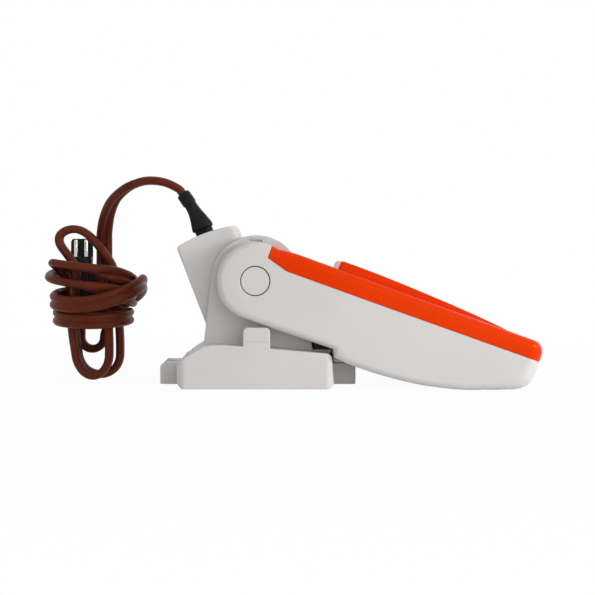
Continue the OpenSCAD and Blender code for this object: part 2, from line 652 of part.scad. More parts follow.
// From the boot over an arch to the hank. The flex turns its flat side to the front as it comes down.
lead_points = [[-39, 0, 100.4], [-41.4, 0.2, 103.1], [-48.5, 1, 106.4], [-56.5, 3, 107.5], [-63, 5, 106.5],
    [-70, 8, 103.5], [-77, 13, 97.5], [-81.3, 19.5, 89.5], [-83.6, 26, 80.5], [-84, 28.4, 74.5], [-84, 28.5, 70]];
lead_turn_from = 7;
module cord_lead() color(flex_colour) {
    p = smooth_path(lead_points, 2);
    last = len(p) - 1;
    sweep(p, [for (i = [0:last]) let (a = 90 * ease(lead_turn_from, last, i)) [sin(a), cos(a), 0]],
        [for (i = p) [flex_w, flex_t] / 2 / cos(180 / 8)], 8);
}

// The hank's own frame stands on the floor at its middle, x across it and z up. Its path is one list of
// [point, direction of the flex's width]: the run in, two upright loops, the climb, the turns that bind
// them, and the tail that comes up into the plug.
hank_c = [-89, 25, 0];
loop_steps = 24;
function ease(a, b, x) = let (t = min(1, max(0, (x - a) / (b - a)))) t * t * (3 - 2 * t);
function bell(x, middle, spread) = exp(-pow((x - middle) / spread, 2));

// A curve from p0 to p1 that leaves along t0 and arrives along t1.
function hermite(p0, t0, p1, t1, n) = [for (k = [0:n]) let (t = k / n)
    p0 * (2 * t * t * t - 3 * t * t + 1) + t0 * (t * t * t - 2 * t * t + t)
    + p1 * (3 * t * t - 2 * t * t * t) + t1 * (t * t * t - t * t)];

// The upright loops: a long ring, squeezed where the turns bind it, narrower below, its top leaning left.
loop_r = 11;
loop_low = flex_t / 2 + 0.1;
loop_top = 82;
loop_run = loop_top - loop_low - 2 * loop_r;
run_steps = 5;
bend_steps = 7;
function ring_at(k) = let (left = k - run_steps - bend_steps, low = loop_low + loop_r, top = loop_top - loop_r)
    k < run_steps ? [loop_r, top - loop_run * k / run_steps]
    : left < 0 ? let (a = 180 * (k - run_steps) / bend_steps) [loop_r * cos(a), low - loop_r * sin(a)]
    : left < run_steps ? [-loop_r, low + loop_run * left / run_steps]
    : let (a = 180 * (left - run_steps) / bend_steps) [-loop_r * cos(a), top + loop_r * sin(a)];
loop_shift = -1.4;
loop_lean = 9.3;
loop_lean_z = [59, 81];
waist_left = [0.28, 56, 17];
waist_right = [0.18, 40, 16];
taper_share = 0.24;
taper_shift = 1.5;
taper_z = 38;
function squeezed(q) = let (w = q.x < 0 ? waist_left : waist_right, low = 1 - ease(0, taper_z, q.y))
    q.x * (1 - w[0] * bell(q.y, w[1], w[2]) - taper_share * low) + loop_shift + taper_shift * low
    - loop_lean * ease(loop_lean_z[0], loop_lean_z[1], q.y);

near_y = -5;
far_y = 4.8;
outer_shift = 4.9;
function near_loop(k) = let (q = ring_at(k)) [squeezed(q), near_y, q.y];
// The second loop crosses behind the first on its way down and keeps outside it on the right.
function far_loop(k) = let (q = ring_at(k))
    [squeezed(q) + outer_shift * ease(-loop_r, loop_r, q.x) * ease(-0.5, 3, k),
        k < run_steps ? near_y + (far_y - near_y) * ease(66, 34, q.y) : far_y, q.y];

// The binding turns: heights at the left, front, right and back of each, from the top down.
turn_z = smooth_path([65.6, 60.6, 53, 55.6, 56, 51, 43.6, 46, 44.6, 41.8, 52.9, 36.6, 34.6, 32.4, 34.2, 31, 30], 6);
turn_c = [-0.5, 5];
turn_half = [21, 19.4];
turn_power = 2.7;
// The third turn crosses outside the first two on the right, the last is narrower, and the first two
// stand on edge across the front.
function on_edge(q) = q < 1.6 ? let (f = (q + 0.5) % 1 - 0.5) ease(-0.12, 0.14, f) * (1 - ease(0.22, 0.4, f)) : 0;
function outward(q) = 5.6 * ease(2, 2.24, q) * (1 - ease(2.7, 2.97, q)) + flex_t / 2 * on_edge(q);
function turn_at(k) = let (q = k / loop_steps, a = 180 + 360 * q, o = outward(q),
        s = pow(pow(abs(cos(a)), turn_power) + pow(abs(sin(a)), turn_power), -1 / turn_power))
    [turn_c.x + (turn_half.x + o - 1.3 * ease(2.9, 3.2, q)) * s * cos(a), turn_c.y + (turn_half.y + o) * s * sin(a), turn_z[k]];
function turn_wide(k) = let (p = turn_at(k), a = 80 * on_edge(k / loop_steps))
    -[0, 0, cos(a)] - unit([p.x - turn_c.x, p.y - turn_c.y, 0]) * sin(a);
turn_first = 3;
turn_last = 83;

across_x = [1, 0, 0];
across_y = [0, 1, 0];
run_in = [5, 3.5, 66];
run_in_straight = 4;
near_from = 4;
climb_from = 14;
climb_knee = [-15, 4.4, 57];
climb_dir = unit([-0.12, -0.14, 1]);
tail_knee = [13.2, 15.4, 33.2];
tail_dir = unit([-0.86, 0.3, -0.36]);
u_c = [-2.8, 14.2, 22];
u_r = 6.4;
plug_z = 36;

near_start = near_loop(near_from);
far_end = far_loop(climb_from);
far_dir = unit(far_end - far_loop(climb_from - 1));
first_turn = turn_at(turn_first);
last_turn = turn_at(turn_last);
in_curve = hermite(run_in, [0, 0, -38], near_start, 36 * unit(near_loop(near_from + 1) - near_start), 5);
climb = concat(hermite(far_end, 20 * far_dir, climb_knee, 12 * climb_dir, 3),
    [for (i = [1:3]) hermite(climb_knee, 12 * climb_dir, first_turn, 12 * unit(turn_at(turn_first + 1) - first_turn), 3)[i]]);
tail = concat(hermite(last_turn, 15 * unit(last_turn - turn_at(turn_last - 1)), tail_knee, 15 * tail_dir, 3),
    [for (i = [1:4]) hermite(tail_knee, 15 * tail_dir, u_c + [u_r, 0, 0], [0, 0, -18], 4)[i]]);

hank_path = concat(
    [[run_in + [0, 0, run_in_straight], across_x]],
    [for (i = [0:4]) let (t = ease(0, 2.5, i)) [in_curve[i], across_x * (1 - t) + across_y * t]],
    [for (k = [near_from:loop_steps - 1]) [near_loop(k), across_y]],
    [for (k = [0:climb_from]) [far_loop(k), across_y]],
    [for (i = [1:5]) let (t = ease(0, 6, i)) [climb[i], across_y * (1 - t) + turn_wide(turn_first) * t]],
    [for (k = [turn_first:turn_last]) [turn_at(k), turn_wide(k)]],
    [for (i = [1:7]) let (t = ease(0, 5.6, i)) [tail[i], [0, -t, t - 1]]],
    [for (k = [1:8]) [u_c + u_r * [cos(22.5 * k), 0, -sin(22.5 * k)], -across_y]],
    [for (z = [27, 31.6, plug_z]) [[u_c.x - u_r, u_c.y, z], -across_y]]);

// Least gap of the flex to itself, between both cores and the web of all points over 22 mm apart along it.
function so_far(p, i = 0, d = 0) = i == len(p) - 1 ? [d] : concat([d], so_far(p, i + 1, d + norm(p[i + 1] - p[i])));
function least_gap(path) = let (p = [for (q = path) q[0]], t = tangents(p), along = so_far(p),
        cores = [for (i = [0:len(p) - 1]) let (w = unit(path[i][1] - (path[i][1] * t[i]) * t[i]) * (flex_w - flex_t) / 2) [p[i] - w, p[i], p[i] + w]])
    min([for (i = [0:len(p) - 1], j = [i + 1:1:len(p) - 1]) if (along[j] > along[i] + 22)
        min([for (a = cores[i], b = cores[j]) norm(a - b)])]) - flex_t;

module cord_hank() color(flex_colour) translate(hank_c) {
    p = [for (q = hank_path) q[0]];
    echo(hank_least_gap = least_gap(hank_path), hank_length = so_far(p)[len(p) - 1], hank_rings = len(p));
    sweep(p, [for (q = hank_path) q[1]], [for (q = p) [flex_w / 2, flex_t / 2 / sin(60)]], 6, 0);
}

// A flat two-pin plug stands in the hank. A shroud rises behind its pins.
plug_half = [6.5, 4.4];
plug_top = 67;
shroud_t = 2.2;
shroud_top = 77;
pin_gap = 5.6;
pin_r = 1;
pin_top = 76.4;
module at_plug() translate(hank_c + [u_c.x - u_r, u_c.y, 0]) children();
module plug_body() color(black_colour) at_plug() {
    translate([0, 0, plug_z]) linear_extrude(plug_top - plug_z) polygon(round_rect(2 * plug_half.x, 2 * plug_half.y, 3.6));
    intersection() {
        translate([0, 0, plug_top]) linear_extrude(shroud_top - plug_top) polygon(round_rect(2 * plug_half.x, 2 * plug_half.y, 3.6));
        translate([-20, plug_half.y - shroud_t, plug_top]) cube([40, shroud_t, shroud_top - plug_top]);
    }
}
module plug_pins() color(steel_colour) at_plug() for (s = [-1, 1])
    rod_z(s * pin_gap / 2, -0.8, pin_r, plug_top, pin_top);

base_shell();
base_plate();
base_screws();
rubber_foot(-1, -1);  // rubber_foot_1
rubber_foot(1, -1);  // rubber_foot_2
rubber_foot(1, 1);  // rubber_foot_3
rubber_foot(-1, 1);  // rubber_foot_4
cable_box();
box_lid();
box_lid_screws();
strain_relief();
cord_clamp();
cord_clamp_screws();
terminal_block();
inner_leads();
pivot_shaft();
shaft_clip(-1);  // shaft_clip_near
shaft_clip(1);  // shaft_clip_far
arm_shell();
tread_cover();
cover_screws();
hub_bush(-1);  // hub_bush_near
hub_bush(1);  // hub_bush_far
hub_cap(-1);  // hub_cap_near
hub_cap(1);  // hub_cap_far
heel_pad();
control_board();
board_screws();
board_parts();
slide_sensor();
sensor_lead();
tread_spring(-1);  // tread_spring_near
tread_spring(1);  // tread_spring_far
tread_plate();
tread_pin();
sensor_slider();
cord_lead();
cord_hank();
plug_body();
plug_pins();
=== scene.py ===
# A foot pedal for a sewing machine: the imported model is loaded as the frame, and the sections below follow
# the pedal as it is put together, from the flex that is laid out first to the tread plate on top.
import json
from math import cos, exp, pi, radians, sin

import bmesh
import bpy
from mathutils import Matrix, Vector

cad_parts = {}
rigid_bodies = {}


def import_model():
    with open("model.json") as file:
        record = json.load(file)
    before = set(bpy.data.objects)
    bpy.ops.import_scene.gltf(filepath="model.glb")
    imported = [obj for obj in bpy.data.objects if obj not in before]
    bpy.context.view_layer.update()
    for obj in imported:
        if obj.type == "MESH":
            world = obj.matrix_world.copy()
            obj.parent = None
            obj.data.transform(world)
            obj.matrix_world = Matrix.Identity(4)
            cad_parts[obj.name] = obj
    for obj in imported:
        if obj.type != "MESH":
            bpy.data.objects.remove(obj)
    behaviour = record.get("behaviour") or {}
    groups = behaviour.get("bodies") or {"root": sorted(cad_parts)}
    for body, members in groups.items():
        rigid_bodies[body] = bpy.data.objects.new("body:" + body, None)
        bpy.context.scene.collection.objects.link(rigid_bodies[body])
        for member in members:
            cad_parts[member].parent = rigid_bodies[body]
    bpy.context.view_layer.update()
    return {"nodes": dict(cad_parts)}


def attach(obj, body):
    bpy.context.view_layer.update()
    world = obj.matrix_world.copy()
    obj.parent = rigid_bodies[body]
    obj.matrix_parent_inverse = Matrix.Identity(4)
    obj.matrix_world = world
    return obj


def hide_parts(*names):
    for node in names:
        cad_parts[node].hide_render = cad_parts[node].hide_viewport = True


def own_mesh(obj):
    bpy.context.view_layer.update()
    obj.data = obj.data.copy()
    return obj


for leftover in list(bpy.data.objects):
    bpy.data.objects.remove(leftover)
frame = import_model()
scene = bpy.context.scene

# ---- camera ----
# A long lens stands square to the near side, just above the floor and three quarters of a metre away.
# The shift frames the pedal below the height that the lens looks along.
picture_side = 595
view = bpy.data.cameras.new("camera")
view.sensor_width = 36
view.lens = 84.7
view.shift_x = 22.5 / picture_side
view.shift_y = -44.5 / picture_side
view.clip_start = 0.01
camera = bpy.data.objects.new("camera", view)
camera.location = (0.0099, -0.742, 0.069)
camera.rotation_euler = (pi / 2, 0, 0)
scene.collection.objects.link(camera)
scene.camera = camera

# ---- flex: the lead and the hank ----
# Flat twin flex, two round cores in one extruded sheath of red-brown PVC with a groove down both sides.
# It leaves the boot, arches over to the left and is stowed as two upright loops bound by four turns.
flex_thick = 0.0044
fine = 4  # sections of flex for each step of a path
across = Vector((1, 0, 0))
away = Vector((0, 1, 0))
up = Vector((0, 0, 1))


def ease(low, high, x):
    t = min(1, max(0, (x - low) / (high - low)))
    return t * t * (3 - 2 * t)


def bell(x, middle, spread):
    return exp(-((x - middle) / spread) ** 2)


def smooth_path(points, steps):
    """A smooth curve through the points, which are numbers or vectors, with so many steps a span."""
    made = []
    for i in range(len(points) - 1):
        before = points[i - 1] if i else 2 * points[0] - points[1]
        here, ahead = points[i], points[i + 1]
        beyond = points[i + 2] if i + 2 < len(points) else 2 * points[i + 1] - points[i]
        for t in (k / steps for k in range(steps)):
            slope = ahead - before
            curve = 2 * before - 5 * here + 4 * ahead - beyond
            twist = 3 * here - before - 3 * ahead + beyond
            made.append(0.5 * (2 * here + slope * t + curve * t * t + twist * t * t * t))
    return made + [points[-1]]


def bend(start, leaving, end, arriving, steps):
    """A curve from start to end that leaves along one direction and arrives along another."""
    return [start * (2 * t ** 3 - 3 * t * t + 1) + leaving * (t ** 3 - 2 * t * t + t)
            + end * (3 * t * t - 2 * t ** 3) + arriving * (t ** 3 - t * t)
            for t in (k / steps for k in range(steps + 1))]


# the lead, in millimetres in the pedal's frame: it turns its flat side to the front as it comes down
lead_through = [Vector(p) for p in (
    (-39, 0, 100.4), (-41.4, 0.2, 103.1), (-48.5, 1, 106.4), (-56.5, 3, 107.5), (-63, 5, 106.5), (-70, 8, 103.5),
    (-77, 13, 97.5), (-81.3, 19.5, 89.5), (-83.6, 26, 80.5), (-84, 28.4, 74.5), (-84, 28.5, 70))]
lead_turn_from, lead_turn_to = 7 * fine, 20 * fine
lead = []
for i, point in enumerate(smooth_path(lead_through, 2 * fine)):
    turned = radians(90 * ease(lead_turn_from, lead_turn_to, i))
    lead.append((point, Vector((sin(turned), cos(turned), 0))))

# the hank, in millimetres in its own frame, which stands on the floor at its middle
hank_middle = Vector((-89, 25, 0))
loop_r = 11
loop_low = 2.3
loop_top = 82
loop_run = loop_top - loop_low - 2 * loop_r
side_steps, bend_steps = 5, 7
near_loop_y, far_loop_y = -5, 4.8


def ring_at(k):
    """A point of the upright ring: down the right side, round the foot, up the left side and over."""
    low, top = loop_low + loop_r, loop_top - loop_r
    left = k - side_steps - bend_steps
    if k < side_steps:
        return loop_r, top - loop_run * k / side_steps
    if left < 0:
        a = pi * (k - side_steps) / bend_steps
        return loop_r * cos(a), low - loop_r * sin(a)
    if left < side_steps:
        return -loop_r, low + loop_run * left / side_steps
    a = pi * (left - side_steps) / bend_steps
    return -loop_r * cos(a), top + loop_r * sin(a)


def squeezed(x, z):
    """The ring is squeezed where the turns bind it, narrower at its foot, and its top leans left."""
    bound, bound_z, bound_spread = (0.28, 56, 17) if x < 0 else (0.18, 40, 16)
    foot = 1 - ease(0, 38, z)
    foot_narrowed, foot_aside = 0.24 * foot, 1.5 * foot
    lean = 9.3 * ease(59, 81, z)
    return x * (1 - bound * bell(z, bound_z, bound_spread) - foot_narrowed) - 1.4 + foot_aside - lean


def near_loop(k):
    x, z = ring_at(k)
    return Vector((squeezed(x, z), near_loop_y, z))


def far_loop(k):
    """The second loop crosses behind the first on its way down and keeps outside it on the right."""
    x, z = ring_at(k)
    y = near_loop_y + (far_loop_y - near_loop_y) * ease(66, 34, z) if k < side_steps else far_loop_y
    outside = 4.9 * ease(-loop_r, loop_r, x) * ease(-0.5, 3, k)
    return Vector((squeezed(x, z) + outside, y, z))


# the binding turns, with a height for each quarter of a turn
turn_steps = 24
turn_middle = Vector((-0.5, 5, 0))
turn_half_x, turn_half_y, turn_corners = 21, 19.4, 2.7
turn_heights = smooth_path([
    65.6, 60.6, 53, 55.6, 56, 51, 43.6, 46, 44.6, 41.8, 52.9, 36.6, 34.6, 32.4, 34.2, 31, 30], turn_steps * fine // 4)


def on_edge(q):
    """How far a turn stands on edge: q counts the turns, and the first two stand so where they cross the front."""
    if q >= 1.6:
        return 0
    f = (q + 0.5) % 1 - 0.5
    return ease(-0.12, 0.14, f) * (1 - ease(0.22, 0.4, f))


def turn_at(k):
    """A point of the binding turns, which run round the loops on a soft-cornered oblong."""
    q = k / turn_steps
    a = pi + 2 * pi * q
    out = 5.6 * ease(2, 2.24, q) * (1 - ease(2.7, 2.97, q)) + 2.2 * on_edge(q)
    drawn_in = 1.3 * ease(2.9, 3.2, q)
    s = (abs(cos(a)) ** turn_corners + abs(sin(a)) ** turn_corners) ** (-1 / turn_corners)
    return Vector((turn_middle.x + (turn_half_x + out - drawn_in) * s * cos(a),
                   turn_middle.y + (turn_half_y + out) * s * sin(a), turn_heights[round(k * fine)]))


def turn_wide(k):
    """The way that the flex's width points there: down, or outwards where the turn stands on edge."""
    p, a = turn_at(k), radians(80 * on_edge(k / turn_steps))
    return -up * cos(a) - Vector((p.x - turn_middle.x, p.y - turn_middle.y, 0)).normalized() * sin(a)


# where the flex runs in, climbs from the second loop to the turns, and ends in a U under the plug
run_in = Vector((5, 3.5, 66))
climb_knee = Vector((-15, 4.4, 57))
climb_way = Vector((-0.12, -0.14, 1)).normalized()
tail_knee = Vector((13.2, 15.4, 33.2))
tail_way = Vector((-0.86, 0.3, -0.36)).normalized()
u_middle = Vector((-2.8, 14.2, 22))
u_r = 6.4
near_from, far_to, turns_from, turns_to = 4, 14, 3, 83
in_steps, knee_steps, drop_steps, u_steps = 5, 3, 4, 8


def way_on(path, k, pull):
    """The way a path runs on past a step, as long as the pull."""
    return (path(k + 1) - path(k)).normalized() * pull


def way_in(path, k, pull):
    """The way a path has come to a step, as long as the pull."""
    return (path(k) - path(k - 1)).normalized() * pull


in_curve = bend(run_in, up * -38, near_loop(near_from), way_on(near_loop, near_from, 36), in_steps * fine)
climb = bend(far_loop(far_to), way_in(far_loop, far_to, 20), climb_knee, climb_way * 12, knee_steps * fine) + bend(
    climb_knee, climb_way * 12, turn_at(turns_from), way_on(turn_at, turns_from, 12), knee_steps * fine)[1:]
tail = bend(turn_at(turns_to), way_in(turn_at, turns_to, 15), tail_knee, tail_way * 15, knee_steps * fine) + bend(
    tail_knee, tail_way * 15, u_middle + across * u_r, up * -18, drop_steps * fine)[1:]
hank = [(run_in + up * 4 * (1 - k / fine), across) for k in range(fine)]
for i in range(in_steps * fine):
    t = ease(0, 2.5, i / fine)
    hank.append((in_curve[i], across * (1 - t) + away * t))
hank += [(near_loop(k / fine), away) for k in range(near_from * fine, 2 * (side_steps + bend_steps) * fine)]
hank += [(far_loop(k / fine), away) for k in range(far_to * fine + 1)]
for i in range(1, 2 * knee_steps * fine):
    t = ease(0, 6, i / fine)
    hank.append((climb[i], away * (1 - t) + turn_wide(turns_from) * t))
hank += [(turn_at(k / fine), turn_wide(k / fine)) for k in range(turns_from * fine, turns_to * fine + 1)]
for i in range(1, (knee_steps + drop_steps) * fine + 1):
    t = ease(0, 5.6, i / fine)
    hank.append((tail[i], away * -t + up * (t - 1)))
for k in range(1, u_steps * fine + 1):
    a = pi * k / (u_steps * fine)
    hank.append((u_middle + Vector((u_r * cos(a), 0, -u_r * sin(a))), -away))
hank += [(Vector((u_middle.x - u_r, u_middle.y, z)), -away) for z in (24, 27, 30, 33, 36)]
route = [(point / 1000, wide) for point, wide in lead]
route += [((point + hank_middle) / 1000, wide) for point, wide in hank[1:]]
flex_route = [point for point, wide in route]


def stations(points, wides):
    """A place for a section at each point: x across its width, y through its thickness, z along the route."""
    places = []
    for i, (point, wide) in enumerate(zip(points, wides)):
        along = (points[min(i + 1, len(points) - 1)] - points[max(i - 1, 0)]).normalized()
        x = (wide - along * wide.dot(along)).normalized()
        places.append(Matrix.Translation(point) @ Matrix((x, along.cross(x), along)).transposed().to_4x4())
    return places


def drawn(outline, places):
    """A skin drawn out of one outline from place to place, closed at both ends. Each point keeps where it
    lies in the straight piece, its place in the section and the distance along, as an attribute."""
    bm = bmesh.new()
    straight = bm.verts.layers.float_vector.new("straight")
    ring = [bm.verts.new((x, y, 0)) for x, y in outline]
    for v in ring:
        v[straight] = v.co
    bm.faces.new(ring[::-1])
    edges = [bm.edges.get((ring[i - 1], ring[i])) for i in range(len(ring))]
    bmesh.ops.transform(bm, matrix=places[0], verts=ring)
    gone = 0
    for last, place in zip(places, places[1:]):
        grown = bmesh.ops.extrude_edge_only(bm, edges=edges)["geom"]
        edges = [g for g in grown if isinstance(g, bmesh.types.BMEdge)]
        ring = [g for g in grown if isinstance(g, bmesh.types.BMVert)]
        bmesh.ops.transform(bm, matrix=place @ last.inverted(), verts=ring)
        gone += (place.translation - last.translation).length
        for v in ring:
            v[straight] = (*v[straight][:2], gone)
    bmesh.ops.holes_fill(bm, edges=edges)
    bmesh.ops.recalc_face_normals(bm, faces=bm.faces)
    return bm


def finished(name, bm, body, slot, material, *nodes, sharp=35, weighted=False):
    """The piece's object, on its body, in its finish and in place of its nodes."""
    mesh = bpy.data.meshes.new(name)
    bm.to_mesh(mesh)
    bm.free()
    mesh.shade_smooth()
    mesh.set_sharp_from_angle(angle=radians(sharp))
    mesh.materials.clear()
    mesh.materials.append(material)
    made = bpy.data.objects.new(name, mesh)
    scene.collection.objects.link(made)
    if weighted:
        made.modifiers.new("even shading", "WEIGHTED_NORMAL").keep_sharp = True
    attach(made, body)
    if nodes:
        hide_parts(*nodes)
    return made


def finish(name, colour, roughness, **sockets):
    """A new material, with the values that are the same all over on the shader's own sockets."""
    material = bpy.data.materials.new(name)
    material.use_nodes = True
    shader = material.node_tree.nodes["Principled BSDF"]
    shader.inputs["Base Color"].default_value = (*colour, 1)
    shader.inputs["Roughness"].default_value = roughness
    for socket, value in sockets.items():
        shader.inputs[socket.replace("_", " ")].default_value = value
    return material


def cloudy(material, scale, stretch=(1, 1, 1), detail=3, where=None):
    """Noise over the surface at so many patches a metre, on the object's or on the piece's own coordinates."""
    nodes, link = material.node_tree.nodes, material.node_tree.links.new
    if where:
        place = nodes.new("ShaderNodeAttribute")
        place.attribute_name = where
        source = place.outputs["Vector"]
    else:
        source = nodes.new("ShaderNodeTexCoord").outputs["Object"]
    turn = nodes.new("ShaderNodeMapping")
    turn.inputs["Scale"].default_value = stretch
    noise = nodes.new("ShaderNodeTexNoise")
    noise.inputs["Scale"].default_value = scale
    noise.inputs["Detail"].default_value = detail
    link(source, turn.inputs["Vector"])
    link(turn.outputs["Vector"], noise.inputs["Vector"])
    return noise.outputs["Fac"]


def ranged(material, value, low, high, start=0.35, end=0.65):
    """The value, spread from low to high."""
    nodes, link = material.node_tree.nodes, material.node_tree.links.new
    spread = nodes.new("ShaderNodeMapRange")
    for socket, number in zip(("From Min", "From Max", "To Min", "To Max"), (start, end, low, high)):
        spread.inputs[socket].default_value = number
    link(value, spread.inputs["Value"])
    return spread.outputs["Result"]


def tinted(material, value, low, high):
    """Base colour that drifts between two tones with the value."""
    nodes, link = material.node_tree.nodes, material.node_tree.links.new
    ramp = nodes.new("ShaderNodeValToRGB")
    ramp.color_ramp.elements[0].position = 0.35
    ramp.color_ramp.elements[0].color = (*low, 1)
    ramp.color_ramp.elements[1].position = 0.65
    ramp.color_ramp.elements[1].color = (*high, 1)
    link(value, ramp.inputs["Fac"])
    link(ramp.outputs["Color"], nodes["Principled BSDF"].inputs["Base Color"])


def polished(material, value, low, high):
    """Roughness that drifts with the value."""
    shader = material.node_tree.nodes["Principled BSDF"]
    material.node_tree.links.new(ranged(material, value, low, high), shader.inputs["Roughness"])


def relief(material, value, height):
    """Fine relief of that height in metres, over any that the material has."""
    nodes, link = material.node_tree.nodes, material.node_tree.links.new
    normal = nodes["Principled BSDF"].inputs["Normal"]
    bump = nodes.new("ShaderNodeBump")
    bump.inputs["Distance"].default_value = height
    if normal.links:
        link(normal.links[0].from_socket, bump.inputs["Normal"])
    link(value, bump.inputs["Height"])
    link(bump.outputs["Normal"], normal)


def shade(colour, share):
    return tuple(c * share for c in colour)


pvc_red = (0.108, 0.019, 0.009)
flex_pvc = finish("flex_pvc", pvc_red, 0.42, Specular_IOR_Level=0.22, Specular_Tint=(1, 0.55, 0.4, 1))
streaks = cloudy(flex_pvc, 420, stretch=(1, 1, 0.06), where="straight")
tinted(flex_pvc, cloudy(flex_pvc, 45, where="straight"), shade(pvc_red, 0.82), shade(pvc_red, 1.15))
polished(flex_pvc, streaks, 0.36, 0.5)
relief(flex_pvc, streaks, 0.00008)
relief(flex_pvc, cloudy(flex_pvc, 2600, where="straight"), 0.00002)

# the section: two cores of half the width, joined by a web a little thinner than they are
core_r = flex_thick / 2
core_points, core_step = 13, 24
section = []
for side, start in ((1, -144), (-1, 36)):
    for k in range(core_points):
        a = radians(start + core_step * k)
        section.append((side * core_r + core_r * cos(a), core_r * sin(a)))
flex = finished("flex", drawn(section, stations(flex_route, [wide for point, wide in route])), "base", "flex_pvc",
                flex_pvc, "cord_lead", "cord_hank", sharp=60)

# ---- plug ----
# A small flat plug of black plastic with two nickel-plated pins. It stands on the end of the flex between the
# turns, with a shroud behind its pins.
plug_at = Vector((hank_middle.x + u_middle.x - u_r, u_middle.y + hank_middle.y, 0)) / 1000
plug_black = finish("plug_plastic", (0.006, 0.006, 0.0065), 0.38, Specular_IOR_Level=0.22)
polished(plug_black, cloudy(plug_black, 160), 0.3, 0.5)
relief(plug_black, cloudy(plug_black, 2200), 0.00003)


def soft_oblong(power, count=40):
    """A unit outline between a circle, at power 2, and a square."""
    outline = []
    for k in range(count):
        c, s = cos(2 * pi * k / count), sin(2 * pi * k / count)
        far = (abs(c) ** power + abs(s) ** power) ** (-1 / power)
        outline.append((c * far, s * far))
    return outline


def risen(heights, at=Vector()):
    """Places one over the other, each from a height and the two half sizes there, all in millimetres."""
    return [Matrix.Translation(at + up * z / 1000) @ Matrix.Diagonal((x / 1000, y / 1000, 1, 1))
            for z, x, y in heights]


def add_shape(bm, other):
    """The other shape, added to this one as it lies."""
    passing = bpy.data.meshes.new("passing")
    other.to_mesh(passing)
    other.free()
    bm.from_mesh(passing)
    bpy.data.meshes.remove(passing)


plug_shape = drawn(soft_oblong(4), risen([
    (36, 4.6, 2.6), (36.4, 5, 3), (39.2, 5.1, 3.1), (39.5, 4.7, 2.8), (40.4, 4.7, 2.8), (40.7, 5.4, 3.3),
    (42.6, 5.5, 3.4), (42.9, 5, 3), (43.8, 5, 3), (44.1, 5.9, 3.8), (46, 6.2, 4.1), (48, 6.4, 4.3), (53, 6.1, 4),
    (58, 6.1, 4), (63, 6.4, 4.3), (66.2, 6.5, 4.4), (66.8, 6.3, 4.2), (67, 5.9, 3.8)], plug_at))
shroud_back = 0.0033
add_shape(plug_shape, drawn(soft_oblong(6), risen([
    (66, 6.2, 0.9), (70, 6.2, 1), (75.4, 6.1, 1), (76.6, 5.6, 0.9), (77, 4.6, 0.6)], plug_at + away * shroud_back)))
plug = finished("plug", plug_shape, "base", "plug_plastic", plug_black, "plug_body")

nickel = finish("pin_metal", (0.72, 0.7, 0.66), 0.16, Metallic=1)
polished(nickel, cloudy(nickel, 900, stretch=(1, 1, 0.05)), 0.12, 0.3)
pin_aside, pin_forward = 0.0028, 0.0008
pins_shape = bmesh.new()
for side in (-1, 1):
    add_shape(pins_shape, drawn(soft_oblong(2, 24), risen([
        (66.5, 1, 1), (75.4, 1, 1), (76, 0.8, 0.8), (76.3, 0.5, 0.5), (76.4, 0.2, 0.2)],
        plug_at + Vector((side * pin_aside, -pin_forward, 0)))))
pins = finished("plug_prongs", pins_shape, "base", "pin_metal", nickel, "plug_pins")

# ---- boot ----
# A moulded black rubber strain relief: it swells out of the box's top, is drawn in at the waist and ends in
# a square collar round the flex.
boot_black = finish("black_rubber", (0.005, 0.005, 0.0055), 0.5, Specular_IOR_Level=0.14)
tinted(boot_black, cloudy(boot_black, 90), (0.004, 0.004, 0.0045), (0.007, 0.007, 0.0075))
polished(boot_black, cloudy(boot_black, 120), 0.4, 0.58)
relief(boot_black, cloudy(boot_black, 1800), 0.00004)
boot_start, boot_knee, boot_end = Vector((-26.54, 0, 77.79)), Vector((-31.1, 0, 89.9)), Vector((-39, 0, 100.4))


def boot_at(t):
    return ((1 - t) ** 2 * boot_start + 2 * t * (1 - t) * boot_knee + t * t * boot_end) / 1000


# the share of the way along the boot, and half its thickness and half its width there
boot_rings = [
    (-0.02, 4.75, 4.75), (0.158, 4.75, 5), (0.161, 5.2, 5.4), (0.168, 5.55, 5.75), (0.18, 5.68, 5.9),
    (0.2, 5.72, 5.97), (0.225, 5.7, 6), (0.255, 5.55, 5.97), (0.3, 5.25, 5.9), (0.35, 4.87, 5.8), (0.41, 4.5, 5.7),
    (0.46, 4.15, 5.55), (0.52, 3.8, 5.4), (0.58, 3.5, 5.3), (0.65, 3.3, 5.22), (0.72, 3.2, 5.2), (0.732, 3.24, 5.24),
    (0.742, 3.5, 5.55), (0.752, 3.64, 5.74), (0.77, 3.7, 5.8), (0.86, 3.68, 5.78), (0.955, 3.62, 5.7),
    (0.98, 3.52, 5.6), (0.993, 3.35, 5.42), (1, 3, 5.1)]
boot_line = stations([boot_at(t) for t, thick, wide in boot_rings], [away] * len(boot_rings))
boot_places = [place @ Matrix.Diagonal((wide / 1000, thick / 1000, 1, 1))
               for place, (t, thick, wide) in zip(boot_line, boot_rings)]
finished("boot", drawn(soft_oblong(3.2, 56), boot_places), "base", "black_rubber", boot_black, "strain_relief",
         sharp=50)

# ---- base shell ----
# One deep moulding in off-white ABS: a low block with a screw ear at each end, the neck and the barrel
# that carries the pivot. Its edges are softened as the mould's are.
body_white = (0.63, 0.605, 0.585)
body_plastic = finish("body_plastic", body_white, 0.42, Specular_IOR_Level=0.35)
tinted(body_plastic, cloudy(body_plastic, 18), shade(body_white, 0.97), shade(body_white, 1.03))
polished(body_plastic, cloudy(body_plastic, 240), 0.36, 0.48)
relief(body_plastic, cloudy(body_plastic, 1500, detail=2), 0.00003)
relief(body_plastic, cloudy(body_plastic, 30, detail=1), 0.0002)


